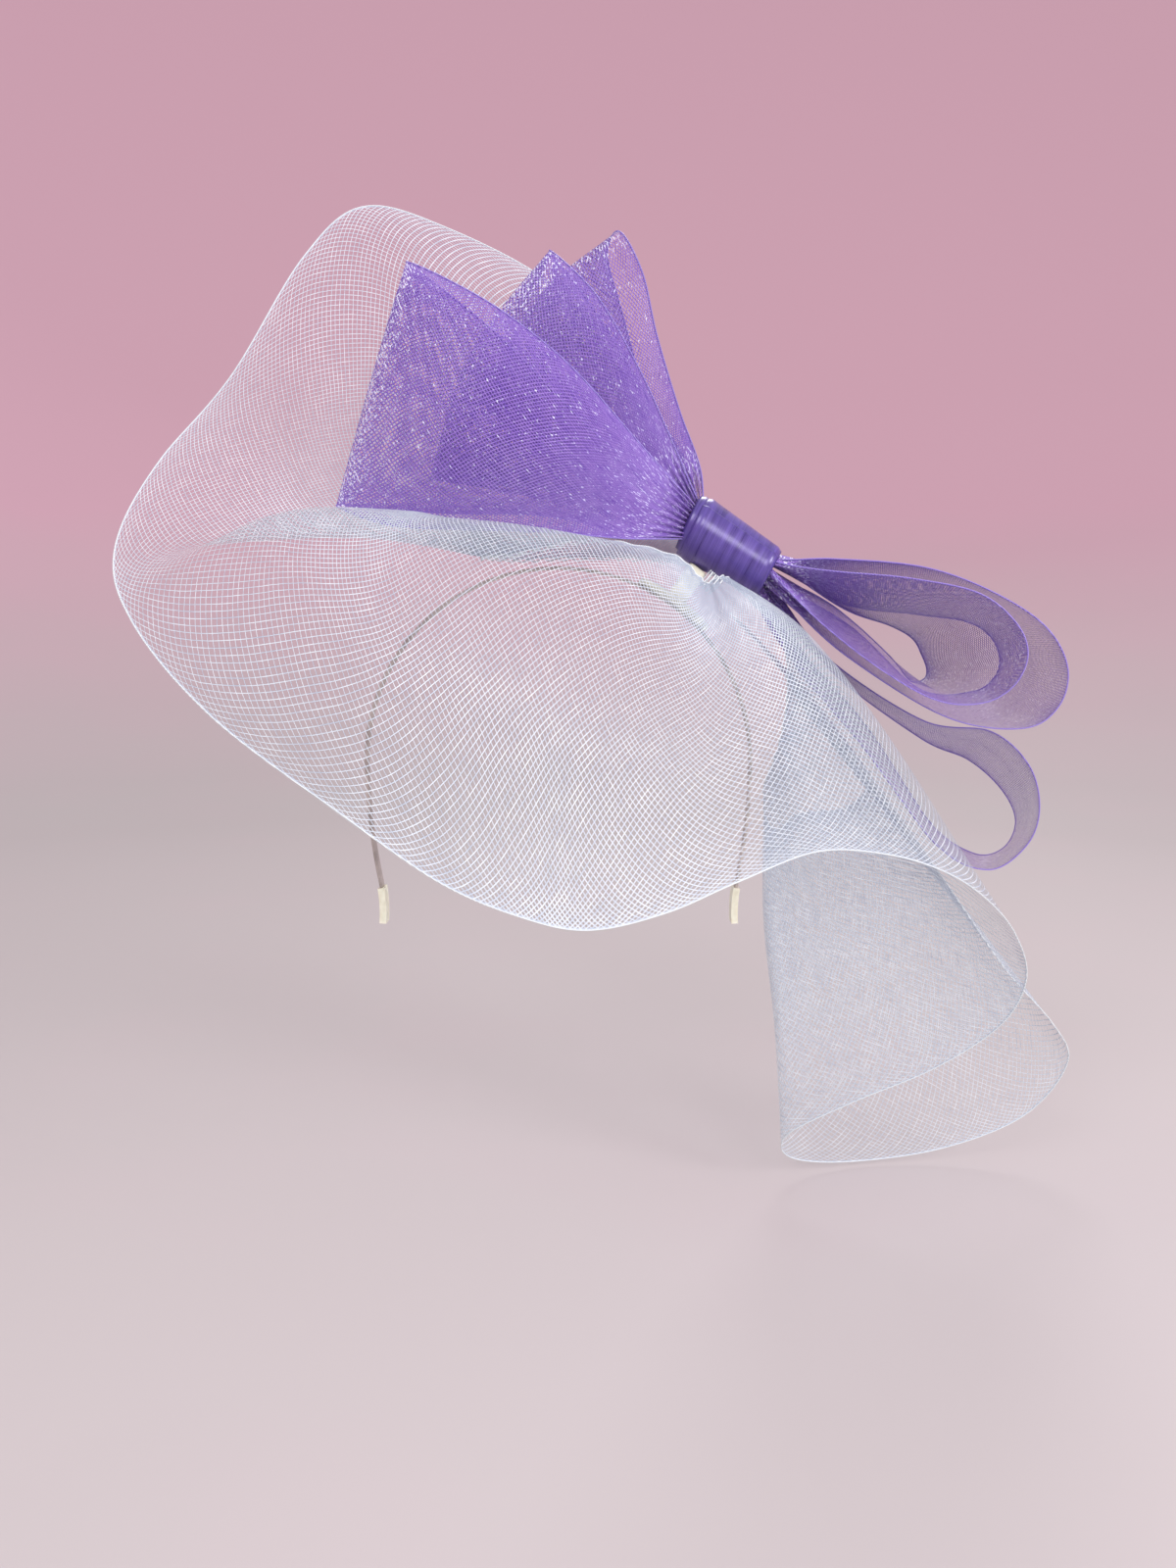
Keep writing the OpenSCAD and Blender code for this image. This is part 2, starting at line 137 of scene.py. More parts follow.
FRONT_PATH = [
    [[61, 5.5, 92.5], [59, 5.5, 88.5], [57.5, 5.5, 84.5]],
    [[57, 5.5, 96], [55, 5.5, 91.5], [53, 5.5, 87]],
    [[32, -4, 121], [30, -8, 103], [26, -8, 86]],
    [[5, -9, 149], [2, -17, 116], [-3, -12, 88]],
    [[-20, -9, 169], [-28, -18, 128], [-35, -12, 89]],
    [[-42, -6, 182], [-52, -12, 138], [-64, -9, 91]],
    [[-57, -1, 189], [-71, -2, 145], [-85, -3, 99]],
    [[-46, 3, 182], [-57, 5, 145], [-67, 3, 98]],
    [[-22, 5, 163], [-32, 9, 131], [-38, 6, 97]],
    [[12, 8, 130], [4, 9, 112], [-4, 7, 96]],
    [[37, 9, 110], [33, 9, 98], [29, 8, 89]],
    [[57, 8.5, 96], [55, 8.5, 91.5], [53, 8.5, 87]],
    [[69, 5.5, 87], [68, 7, 85], [67, 8, 83]],
    [[84, 4, 78.5], [84, 7, 78.5], [84, 9.5, 78.5]],
    [[106, -3, 74], [113, 18, 68], [120, 40, 61]],
    [[134, -12, 70], [140, 27, 62], [146, 66, 54]],
    [[159, -14, 65], [160, 33, 57], [160, 80, 49]],
    [[174, -14, 54], [170, 35, 48], [166, 84, 42]],
    [[179, -14, 42], [174, 35, 38], [169, 84, 35]],
    [[175, -12, 30], [171, 35, 30], [167, 82, 30]],
    [[164, -10, 23], [162, 34, 26], [159, 78, 29]],
    [[147, -10, 24], [146, 26, 33], [145, 62, 41]],
    [[127, -8, 35], [127, 20, 45], [127, 48, 55]],
    [[103, 0, 54], [106, 16, 58.5], [109, 32, 65]],
    [[82, 4, 75], [82, 7, 75], [82, 9.5, 75]],
    [[78, 4, 77], [78, 7, 77], [78, 9.5, 77]],
]

MIDDLE_PATH = [
    [[61, 11, 92.5], [59, 11, 88.5], [57.5, 11, 84.5]],
    [[57.5, 11, 97], [55.5, 11, 92], [53.5, 11, 87.5]],
    [[45, 13, 125], [38, 13, 110], [29, 13, 97]],
    [[31, 15, 155], [14, 15, 129], [-4, 13, 103]],
    [[14, 19, 184], [-10, 19, 147], [-33, 15, 109]],
    [[-4, 26, 202], [-36, 24, 161], [-52, 19, 112]],
    [[12, 33, 184], [-10, 30, 149], [-32, 24, 112]],
    [[34, 29, 149], [16, 26, 129], [-2, 21, 107]],
    [[48, 21, 120], [40, 19, 108], [31, 16.5, 96]],
    [[57.5, 14, 97], [55.5, 14, 92], [53.5, 14, 87.5]],
    [[70, 12, 88], [69, 13, 86], [68, 14, 84]],
    [[85, 11, 80], [85, 13, 80], [85, 15, 80]],
    [[110, 14, 80], [117, 36, 72], [123, 58, 64]],
    [[150, 20, 76], [158, 58, 68], [166, 96, 60]],
    [[181, 24, 66], [187, 67, 62], [194, 110, 58]],
    [[201, 24, 53], [204, 69, 52], [208, 114, 51]],
    [[210, 24, 36], [211, 69, 38], [213, 114, 40]],
    [[206, 24, 20], [208, 69, 25], [210, 114, 30]],
    [[191, 24, 12], [194, 68, 13], [198, 112, 24]],
    [[158, 22, 18], [163, 60, 18], [169, 98, 26.5]],
    [[114, 16, 43], [119, 36, 48.5], [125, 56, 55]],
    [[81, 11, 73.5], [81, 13, 73.5], [81, 15, 73.5]],
    [[77, 11, 76], [77, 13, 76], [77, 15, 76]],
]

BACK_PATH = [
    [[61, 17, 92.5], [59, 17, 88.5], [57.5, 17, 84.5]],
    [[58, 17, 98], [56, 17, 93], [54, 17, 88.5]],
    [[57, 25, 117], [44, 26, 113], [31, 25, 107]],
    [[49, 34, 142], [21, 35, 132], [-2, 32, 120]],
    [[40, 40, 173], [1, 40, 160], [-22, 36, 136]],
    [[34, 42, 198], [-5, 42, 180], [-31, 38, 145]],
    [[25, 46, 215], [-6, 46, 193], [-34, 44, 152]],
    [[20, 52, 208], [-5, 52, 185], [-30, 49, 150]],
    [[25, 53, 189], [5, 52, 165], [-17, 48, 140]],
    [[36, 48, 152], [22, 46, 135], [3, 42, 121]],
    [[52, 34, 121], [42, 34, 112], [32, 32, 104]],
    [[58, 20, 98], [56, 20, 93], [54, 20, 88.5]],
    [[69, 17, 86], [68, 18, 84], [67, 19, 82]],
    [[80, 16.5, 71.7], [80, 18.5, 71.7], [80, 20.5, 71.7]],
    [[113, 28, 39], [117, 44, 36], [121, 60, 33]],
    [[153, 34, 15], [161, 62, 10], [169, 92, 3]],
    [[183, 38, 10], [192, 76, 1], [198, 112, -9]],
    [[200, 40, -5], [210, 80, -14], [217, 120, -25]],
    [[205, 40, -24], [217, 82, -33], [225, 122, -41]],
    [[200, 40, -40], [210, 80, -47], [219, 120, -54]],
    [[184, 38, -50], [194, 76, -55], [203, 114, -56]],
    [[160, 34, -39], [167, 66, -41], [176, 98, -39]],
    [[126, 26, 4], [132, 48, 5], [139, 70, 8]],
    [[96, 19, 38], [100, 30, 40], [104, 42, 42]],
    [[79, 16.5, 69.5], [79, 18.5, 69.5], [79, 20.5, 69.5]],
    [[75, 16.5, 72], [75, 18.5, 72], [75, 20.5, 72]],
]


# ---------------------------------------------------------------- curves and grids
def curve(points, steps):
    """Smooth curve through points, whose last axis is x, y, z, with that many steps a span."""
    points = np.asarray(points, float)
    padded = np.concatenate([points[:1], points, points[-1:]])
    before, start, end, after = padded[:-3], padded[1:-2], padded[2:-1], padded[3:]
    out = []
    for k in range(steps):
        t = k / steps
        out.append((2 * start + (end - before) * t
                    + (2 * before - 5 * start + 4 * end - after) * t * t
                    + (3 * start - before - 3 * end + after) * t ** 3) / 2)
    rows = np.stack(out, axis=1).reshape((-1,) + points.shape[1:])
    return np.concatenate([rows, points[-1:]])


def strip_grid(path, across, along):
    """Grid of points over a strip, [along, across, xyz], in metres."""
    stations = np.array(path, float) * MM
    rows = np.stack([curve(s, across) for s in stations])
    return curve(rows, along)


def grid_normals(grid):
    """Unit normal at each point of a grid."""
    n = np.cross(np.gradient(grid, axis=0), np.gradient(grid, axis=1))
    return n / np.maximum(np.linalg.norm(n, axis=2, keepdims=True), 1e-12)


def line_length(points):
    """Distance along a line of points, from 0."""
    steps = np.linalg.norm(np.diff(points, axis=0), axis=1)
    return np.concatenate([[0], np.cumsum(steps)])


def flat_length(grid, width):
    """Distance along the flat strip. Net cut on the bias grows longer as it is drawn narrower."""
    least_share, most_share = 0.4, 1.2
    middle = grid[:, grid.shape[1] // 2]
    steps = np.linalg.norm(np.diff(middle, axis=0), axis=1)
    across = np.linalg.norm(np.diff(grid, axis=1), axis=2).sum(axis=1)
    share = np.clip((across[1:] + across[:-1]) / 2 / width, least_share, most_share)
    stretch = np.sqrt(2 - share ** 2)
    return np.concatenate([[0], np.cumsum(steps / stretch)])


def fade(x, start, end):
    """0 up to start, 1 from end on, and a smooth rise between them."""
    x = np.clip((x - start) / (end - start), 0, 1)
    return x * x * (3 - 2 * x)


def crowding(grid, u, v):
    """How much flat cloth lies in each unit of the surface: 1 is flat, more is gathered."""
    least, most = 0.6, 12
    area = np.linalg.norm(np.cross(np.diff(grid, axis=0)[:, :-1], np.diff(grid, axis=1)[:-1]),
                          axis=2)
    flat = np.outer(np.diff(u), np.diff(v))
    cell = np.clip(flat / np.maximum(area, 1e-9), least, most)
    full = np.pad(cell, ((0, 1), (0, 1)), mode="edge")
    full[1:, 1:] = (full[1:, 1:] + full[:-1, 1:] + full[1:, :-1] + full[:-1, :-1]) / 4
    return full


def bending(grid):
    """How sharply the strip bends along its length: 0 is flat, 1 is a radius of 6 mm or less."""
    sharp_radius = 0.006
    reach, blur = 3, 5          # rows that a bend spreads over, then is softened over
    turn = np.linalg.norm(np.gradient(grid_normals(grid), axis=0), axis=2)
    step = np.linalg.norm(np.gradient(grid, axis=0), axis=2)
    sharp = np.clip(turn / np.maximum(step, 1e-5) * sharp_radius, 0, 1)
    wide = np.max([np.roll(sharp, k, axis=0) for k in range(-reach, reach + 1)], axis=0)
    even = np.ones(blur) / blur
    return np.apply_along_axis(lambda c: np.convolve(c, even, mode="same"), 0, wide)


# ---------------------------------------------------------------- mesh helpers
def mesh_object(name, verts, faces, material):
    mesh = bpy.data.meshes.new(name)
    mesh.from_pydata([tuple(map(float, p)) for p in verts], [],
                     [tuple(map(int, f)) for f in faces])
    mesh.validate()
    mesh.update()
    mesh.shade_smooth()
    obj = bpy.data.objects.new(name, mesh)
    bpy.context.scene.collection.objects.link(obj)
    mesh.materials.append(material)
    return obj


def grid_faces(rows, cols, closed=False):
    """Quads of a grid. closed joins the last column to the first."""
    i, j = np.meshgrid(np.arange(rows - 1), np.arange(cols if closed else cols - 1), indexing="ij")
    k = (j + 1) % cols
    return np.stack([i * cols + j, (i + 1) * cols + j, (i + 1) * cols + k, i * cols + k],
                    axis=-1).reshape(-1, 4)


def set_uv(mesh, name, flat):
    """Write each vertex's place on the flat cloth, in metres, as a UV map."""
    loops = np.empty(len(mesh.loops), int)
    mesh.loops.foreach_get("vertex_index", loops)
    uv = mesh.uv_layers.new(name=name)
    uv.uv.foreach_set("vector", flat[loops].astype(np.float32).ravel())


def cloth_object(name, grid, u, v, material):
    """A strip's grid as an open sheet. Its UV map holds flat cloth metres, and the attributes
    crowd and bend say how gathered and how sharply bent the cloth is."""
    rows, cols = grid.shape[:2]
    obj = mesh_object(name, grid.reshape(-1, 3), grid_faces(rows, cols), material)
    set_uv(obj.data, "cloth", np.stack(np.meshgrid(u, v, indexing="ij"), axis=-1).reshape(-1, 2))
    for attribute, values in (("crowd", crowding(grid, u, v)), ("bend", bending(grid))):
        layer = obj.data.attributes.new(attribute, "FLOAT", "POINT")
        layer.data.foreach_set("value", values.astype(np.float32).ravel())
    return obj


def tube_mesh(lines, radius, sides):
    """Vertices and faces of round cords along lines of points, ends closed."""
    off_axis = [0.31, 0.87, 0.38]   # a direction that none of the cords follows
    verts, faces = [], []
    for line in lines:
        line = np.asarray(line, float)
        t = np.gradient(line, axis=0)
        t /= np.maximum(np.linalg.norm(t, axis=1, keepdims=True), 1e-12)
        side = np.cross(t, off_axis)
        side /= np.maximum(np.linalg.norm(side, axis=1, keepdims=True), 1e-12)
        other = np.cross(t, side)
        first = len(verts)
        last = first + (len(line) - 1) * sides
        for k in range(len(line)):
            for s in range(sides):
                a = 2 * math.pi * s / sides
                verts.append(line[k] + radius * (side[k] * math.cos(a) + other[k] * math.sin(a)))
        faces += [tuple(first + x for x in f) for f in grid_faces(len(line), sides, closed=True)]
        faces.append(tuple(first + s for s in range(sides)))
        faces.append(tuple(last + s for s in reversed(range(sides))))
    return verts, faces


def tube_object(name, lines, radius, material, sides=6):
    return mesh_object(name, *tube_mesh(lines, radius, sides), material)


# ---------------------------------------------------------------- materials
# Sockets of a Mix node in colour mode, which share their names with its other modes
MIX_FIRST, MIX_SECOND, MIX_RESULT = 6, 7, 2


class Paint:
    """A node material being built round one surface shader."""

    def __init__(self, name):
        self.material = bpy.data.materials.new(name)
        self.material.use_nodes = True
        self.tree = self.material.node_tree
        self.tree.nodes.clear()
        out = self.node("ShaderNodeOutputMaterial")
        self.shader = self.node("ShaderNodeBsdfPrincipled")
        self.link(self.shader.outputs[0], out.inputs["Surface"])

    def node(self, kind, **values):
        """A new node, with values set on its sockets or settings of the same names."""
        new = self.tree.nodes.new(kind)
        for key, value in values.items():
            if key in new.inputs:
                new.inputs[key].default_value = value
            else:
                setattr(new, key, value)
        return new

    def link(self, source, socket):
        self.tree.links.new(source, socket)

    def maths(self, operation, a, b, clamp=False):
        """The result of one sum. a and b are numbers or the outputs of other nodes."""
        new = self.tree.nodes.new("ShaderNodeMath")
        new.operation = operation
        new.use_clamp = clamp
        for socket, value in zip(new.inputs, (a, b)):
            if isinstance(value, (int, float)):
                socket.default_value = value
            else:
                self.link(value, socket)
        return new.outputs[0]

    def blend(self, first, share, second):
        """That share of the first tone and the rest of the second."""
        return self.maths("ADD", self.maths("MULTIPLY", first, share),
                          self.maths("MULTIPLY", second, 1 - share))

    def object_place(self):
        return self.node("ShaderNodeTexCoord").outputs["Object"]

    def split_uv(self, uv):
        parts = self.node("ShaderNodeSeparateXYZ")
        self.link(uv, parts.inputs[0])
        return parts.outputs[0], parts.outputs[1]

    def attribute(self, name):
        return self.node("ShaderNodeAttribute", attribute_name=name).outputs["Fac"]

    def stretched(self, place, scale):
        mapping = self.node("ShaderNodeMapping", Scale=scale)
        self.link(place, mapping.inputs["Vector"])
        return mapping.outputs[0]

    def noise(self, place, **values):
        new = self.node("ShaderNodeTexNoise", **values)
        self.link(place, new.inputs["Vector"])
        return new.outputs["Fac"]

    def ramp(self, tone, low, dark, high, light):
        """Colour that runs from dark at the low tone to light at the high one."""
        new = self.node("ShaderNodeValToRGB")
        for element, place, colour in zip(new.color_ramp.elements, (low, high), (dark, light)):
            element.position = place
            element.color = (*colour, 1)
        self.link(tone, new.inputs[0])
        return new.outputs[0]

    def feed(self, socket, value):
        self.link(value, self.shader.inputs[socket])

    def bump(self, height, strength, distance):
        new = self.node("ShaderNodeBump", Strength=strength, Distance=distance)
        self.link(height, new.inputs["Height"])
        self.feed("Normal", new.outputs[0])

    def gloss(self, least, tone, reach):
        """Roughness that grows from the least value as the tone rises."""
        self.feed("Roughness", self.maths("ADD", least, self.maths("MULTIPLY", tone, reach)))

    def set(self, **values):
        for key, value in values.items():
            self.shader.inputs[key.replace("_", " ")].default_value = value


def slant_noise(paint, u, v, sign, across, along, detail):
    """Noise in flecks of that size across and along one set of slanting threads."""
    other = "SUBTRACT" if sign == "ADD" else "ADD"
    place = paint.node("ShaderNodeCombineXYZ")
    paint.link(paint.maths("DIVIDE", paint.maths(sign, u, v), across), place.inputs[0])
    paint.link(paint.maths("DIVIDE", paint.maths(other, u, v), along), place.inputs[1])
    return paint.noise(place.outputs[0], Scale=1.0, Detail=detail)


def net_threads(paint, uv, u, v, pitch, step, filled):
    """How far each point lies from the nearest thread of each set, and where the threads are."""
    wobble = paint.noise(uv, Scale=60.0, Detail=1.0)
    drift = paint.maths("MULTIPLY", paint.maths("SUBTRACT", wobble, 0.5), pitch * 0.5)
    lines = []
    for sign in ("ADD", "SUBTRACT"):
        along = paint.maths("DIVIDE", paint.maths("ADD", paint.maths(sign, u, v), drift), step)
        lines.append(paint.maths("MULTIPLY", paint.maths("PINGPONG", along, 0.5), 2.0))
    return lines, [paint.maths("LESS_THAN", line, filled) for line in lines]


def thread_tones(paint, u, v, step, mask):
    """Each thread has its own shade, which drifts slowly along it."""
    tones = [slant_noise(paint, u, v, sign, step, step * 7, 2.0) for sign in ("ADD", "SUBTRACT")]
    return paint.maths("ADD", paint.maths("MULTIPLY", tones[0], mask),
                       paint.maths("MULTIPLY", tones[1], paint.maths("SUBTRACT", 1.0, mask)))


def painted_glints(paint, u, v, step, colour, glint):
    """The colour with painted glints in it: short bright flecks of painted highlight,
    more of them where the strip bends.
    """
    least, rise, bend_lift = 0.71, 9.0, 0.2
    bend = paint.attribute("bend")
    speck = slant_noise(paint, u, v, "ADD", step * 0.7, step * 1.6, 0.0)
    bright = paint.maths("ADD", speck, paint.maths("MULTIPLY", bend, bend_lift))
    bright = paint.maths("MULTIPLY", paint.maths("SUBTRACT", bright, least), rise, clamp=True)
    # The painted highlight's pale violet colour, mixed in where the flecks are
    mix = paint.node("ShaderNodeMix", data_type="RGBA")
    paint.link(paint.maths("MULTIPLY", bright, glint), mix.inputs["Factor"])
    paint.link(colour, mix.inputs[MIX_FIRST])
    mix.inputs[MIX_SECOND].default_value = (0.80, 0.76, 1.0, 1.0)
    return mix.outputs[MIX_RESULT]


def crin_material(name, light, dark, width, pitch, cover, selvage, rough, most, shade,
                  glint=0.0):
    """Crinoline: a net of threads at 45 degrees to the strip's edges, with a woven selvage.
    cover is the share of each pitch that one set of threads fills where the net lies flat, and
    most is the largest share they fill where it is gathered. shade is how much painted shade
    darkens the threads where they are gathered, as if the dense net shadowed itself, and glint is
    how strongly painted glints, short flecks of painted highlight, show in the colour."""
    crowd_power = 0.8
    shade_from, shade_rise = 1.6, 0.16
    paint = Paint(name)
    uv = paint.node("ShaderNodeUVMap", uv_map="cloth").outputs[0]
    u, v = paint.split_uv(uv)
    crowd = paint.attribute("crowd")
    step = pitch * math.sqrt(2)
    filled = paint.maths("MULTIPLY", paint.maths("POWER", crowd, crowd_power), cover)
    filled = paint.maths("MINIMUM", filled, most)
    # Painted shade: gathered net is painted darker, standing in for the shadow the dense net casts
    # on itself
    gathered_shade_paint = paint.maths("MULTIPLY", paint.maths("SUBTRACT", crowd, shade_from), shade_rise,
                         clamp=True)

    # The net and its two edges are solid, and the rest is open
    lines, masks = net_threads(paint, uv, u, v, pitch, step, filled)
    edge = paint.maths("MINIMUM", v, paint.maths("SUBTRACT", width, v))
    paint.feed("Alpha", paint.maths("MAXIMUM", paint.maths("MAXIMUM", *masks),
                                    paint.maths("LESS_THAN", edge, selvage)))

    # Round threads, each with its own shade, and painted shading across each thread: lighter on
    # its crown, darker at its sides
    thread = thread_tones(paint, u, v, step, masks[0])
    rounds = [paint.maths("SUBTRACT", 1.0, paint.maths("DIVIDE", line, filled), clamp=True)
              for line in lines]
    height = paint.maths("MAXIMUM", *rounds)
    paint.bump(paint.maths("ADD", paint.maths("MULTIPLY", height, 0.6), thread), 0.5, 0.0004)
    # A quarter of the tone follows each thread's round profile, which is painted shading
    tone = paint.blend(thread, 0.75, height)
    # Painted shade on the gathered net
    tone = paint.maths("SUBTRACT", tone, paint.maths("MULTIPLY", gathered_shade_paint, shade))
    colour = paint.ramp(tone, 0.35, dark, 0.65, light)
    if glint:
        colour = painted_glints(paint, u, v, step, colour, glint)
    paint.feed("Base Color", colour)
    paint.gloss(rough - 0.12, thread, 0.24)
    paint.set(IOR=1.5, Sheen_Weight=0.1, Sheen_Roughness=0.3, Coat_Weight=0.12,
              Coat_Roughness=0.25)
    return paint.material


def thread_material(name, light, dark, fineness, rough=0.5):
    """Twisted thread: fine slanting ridges along a cord, with painted shade in the grooves."""
    paint = Paint(name)
    wave = paint.node("ShaderNodeTexWave", Scale=fineness, Distortion=0.6,
                      bands_direction="DIAGONAL")
    paint.link(paint.object_place(), wave.inputs["Vector"])
    ridge = wave.outputs["Fac"]
    # Painted shade: the colour follows the ridges, so the grooves between them are painted darker
    paint.feed("Base Color", paint.ramp(ridge, 0.2, dark, 0.8, light))
    paint.bump(ridge, 0.5, 0.0002)
    paint.set(Roughness=rough, Sheen_Weight=0.2)
    return paint.material


def felt_material(name, light, dark):
    """Wool felt: matted fibres, soft and matte."""
    paint = Paint(name)
    place = paint.object_place()
    fibre = paint.noise(place, Scale=1800.0, Detail=6.0, Roughness=0.7, Distortion=1.5)
    cloud = paint.noise(place, Scale=160.0, Detail=3.0)
    tone = paint.blend(fibre, 0.6, cloud)
    paint.feed("Base Color", paint.ramp(tone, 0.35, dark, 0.65, light))
    paint.bump(tone, 0.8, 0.0004)
    paint.set(Roughness=0.95, Sheen_Weight=0.6, Sheen_Roughness=0.5)
    return paint.material


def satin_material(name, light, dark):
    """Satin: fine glossy floats that run round the winding."""
    paint = Paint(name)
    uv = paint.node("ShaderNodeUVMap", uv_map="ribbon").outputs[0]
    floats = paint.noise(paint.stretched(uv, (60.0, 5200.0, 1.0)), Scale=1.0, Detail=3.0)
    broad = paint.noise(paint.stretched(uv, (25.0, 420.0, 1.0)), Scale=1.0, Detail=2.0)
    tone = paint.blend(floats, 0.55, broad)
    paint.feed("Base Color", paint.ramp(tone, 0.38, dark, 0.62, light))
    paint.bump(tone, 0.2, 0.0001)
    paint.gloss(0.24, broad, 0.1)
    paint.set(Sheen_Weight=0.05, Specular_IOR_Level=0.85, Specular_Tint=(0.8, 0.76, 1.0, 1.0))
    return paint.material


def metal_material(name, light, dark):
    """Drawn spring-steel strip: hair-line scratches and small duller patches."""
    paint = Paint(name)
    place = paint.object_place()
    drawn = paint.noise(paint.stretched(place, (90.0, 3500.0, 90.0)), Scale=1.0, Detail=4.0)
    patch = paint.noise(place, Scale=120.0, Detail=4.0)
    paint.feed("Base Color", paint.ramp(patch, 0.35, dark, 0.62, light))
    paint.gloss(0.16, drawn, 0.3)
    paint.bump(drawn, 0.2, 0.0001)
    paint.set(Metallic=1.0)
    return paint.material


def sleeve_material(name, light, dark):
    """Moulded soft plastic: a little mottled, with a fine grain."""
    paint = Paint(name)
    place = paint.object_place()
    mottle = paint.noise(place, Scale=240.0, Detail=3.0)
    grain = paint.noise(place, Scale=2600.0, Detail=2.0)
    paint.feed("Base Color", paint.ramp(mottle, 0.35, dark, 0.65, light))
    paint.gloss(0.34, mottle, 0.2)
    paint.bump(grain, 0.25, 0.0001)
    paint.set(Subsurface_Weight=0.05)
    return paint.material


# shade sets how much painted shade darkens gathered net, and glint sets its painted glints
WHITE_NET = crin_material("white_crinoline", (0.80, 0.83, 0.90), (0.42, 0.47, 0.60),
                          WHITE_WIDTH, pitch=0.0016, cover=0.20, selvage=0.0008, rough=0.34,
                          most=0.52, shade=0.36)
PURPLE_NET = crin_material("purple_crinoline", (0.30, 0.165, 0.56), (0.135, 0.055, 0.41),
                           BOW_WIDTH, pitch=0.0012, cover=0.34, selvage=0.0010, rough=0.3,
                           most=1.0, shade=0.05, glint=0.9)
WHITE_THREAD = thread_material("white_thread", (0.88, 0.9, 0.94), (0.6, 0.63, 0.68), 900.0)
PURPLE_CORD = thread_material("purple_selvage", (0.36, 0.26, 0.72), (0.16, 0.09, 0.45), 900.0,
                              rough=0.4)
PURPLE_THREAD = thread_material("purple_thread", (0.14, 0.08, 0.36), (0.05, 0.02, 0.16), 1400.0)
CREAM_FELT = felt_material("cream_felt", (0.86, 0.82, 0.7), (0.66, 0.61, 0.49))
SATIN = satin_material("purple_satin", (0.115, 0.07, 0.34), (0.035, 0.016, 0.14))
STEEL = metal_material("band_steel", (0.66, 0.63, 0.58), (0.4, 0.38, 0.35))
SLEEVE = sleeve_material("cream_sleeve", (0.84, 0.79, 0.66), (0.7, 0.64, 0.5))


# ---------------------------------------------------------------- the white crinoline
def white_relief(grid, u, v):
    """Height of the small pleats at the gathered edge and of the slow waves near the free one."""
    pleat_depth, pleat_pitch, pleats_end = 0.0003, 0.0155, 0.45
    loose, gathered = 1.4, 3.4      # crowding where the pleats begin and where they are full
    waves_begin = 0.55
    share = v / WHITE_WIDTH
    depth = pleat_depth * fade(crowding(grid, u, v), loose, gathered)
    depth = depth * (1 - fade(share, 0, pleats_end))
    uneven_turns = 2 * math.pi * u / pleat_pitch + 1.2 * np.sin(u / 0.05)
    pleats = depth * np.sin(uneven_turns)[:, None]
    wave = 0.0012 * np.sin(u / 0.031) + 0.0009 * np.sin(u / 0.0173 + 1.3)
    return pleats + wave[:, None] * fade(share, waves_begin, 1)[None, :]


def white_strip():
    grid = strip_grid(WHITE_PATH, *WHITE_STEPS)
    cols = grid.shape[1]
    u = line_length(grid[:, cols // 2]) * WHITE_SLACK
    v = np.linspace(0, WHITE_WIDTH, cols)
    grid = grid + grid_normals(grid) * white_relief(grid, u, v)[:, :, None]

    cloth = cloth_object("white_crin_strip", grid, u, v, WHITE_NET)
    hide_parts("white_crin")
    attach(cloth, "root")

    edges = [grid[:, -1], grid[:, 0]]
    cords = tube_object("white_crin_selvages", edges, WHITE_CORD_RADIUS, WHITE_THREAD)
    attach(cords, "root")
    return grid


def draw_thread(grid):
    """Running stitches of the draw thread, in and out along the inner edge."""
    depth, swing, stitch = 0.0009, 0.0005, 0.006
    first, last = [station * WHITE_STEPS[1] for station in THREAD_STATIONS]
    line = grid[first:last + 1, 0]
    inward = line * [1, 0, 1]
    inward /= np.linalg.norm(inward, axis=1, keepdims=True)
    run = line_length(line)
    line = line - inward * (depth + swing * np.sin(2 * math.pi * run / stitch))[:, None]
    thread = tube_object("gather_thread_stitches", [line], DRAW_THREAD_RADIUS, WHITE_THREAD)
    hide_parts("gather_thread")
    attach(thread, "root")


# ---------------------------------------------------------------- the bow
def bow_relief(grid, u, share, phase, fan_depth):
    """Pleats like a fan inside the knot, which fade out along each loop, and a slow sway of
    the two edges where the strip is wide."""
    pleats, hem = 9, 0.04
    fan_full, fan_gone = 0.006, 0.034       # widths of the strip between which the fan fades
    sway_size, sway_begins, sway_full = 0.0010, 0.03, 0.09
    span = np.linalg.norm(grid[:, -1] - grid[:, 0], axis=1)
    depth = fan_depth * (1 - fade(span, fan_full, fan_gone))
    fan = np.sin(2 * math.pi * pleats * share + phase)
    fan = fan * fade(share, 0, hem) * fade(1 - share, 0, hem)
    sway = sway_size * np.sin(u / 0.021 + phase) * fade(span, sway_begins, sway_full)
    return fan[None, :] * depth[:, None], sway[:, None] * (2 * share - 1)[None, :] ** 2


def bow_strip(name, path, replaced, phase, fan_depth):
    grid = strip_grid(path, *BOW_STEPS)
    u = flat_length(grid, BOW_WIDTH)
    v = np.linspace(0, BOW_WIDTH, grid.shape[1])
    normals = grid_normals(grid)
    for relief in bow_relief(grid, u, v / BOW_WIDTH, phase, fan_depth):
        grid = grid + normals * relief[:, :, None]

    cloth = cloth_object(name, grid, u, v, PURPLE_NET)
    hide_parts(replaced)
    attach(cloth, "root")
    edges = [grid[:, 0], grid[:, -1]]
    cords = tube_object(name + "_selvages", edges, BOW_CORD_RADIUS, PURPLE_CORD, sides=5)
    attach(cords, "root")


# ---------------------------------------------------------------- the knot
def knot_point(along, angle, radius):
    """A point on the knot: along its axis, then round it from the top towards the back."""
    axis = np.array([math.cos(KNOT_TILT), 0, -math.sin(KNOT_TILT)])
    up = np.array([math.sin(KNOT_TILT), 0, math.cos(KNOT_TILT)])
    back = np.array([0, 1, 0])
    return KNOT_MID + axis * along + radius * (up * math.cos(angle) + back * math.sin(angle))


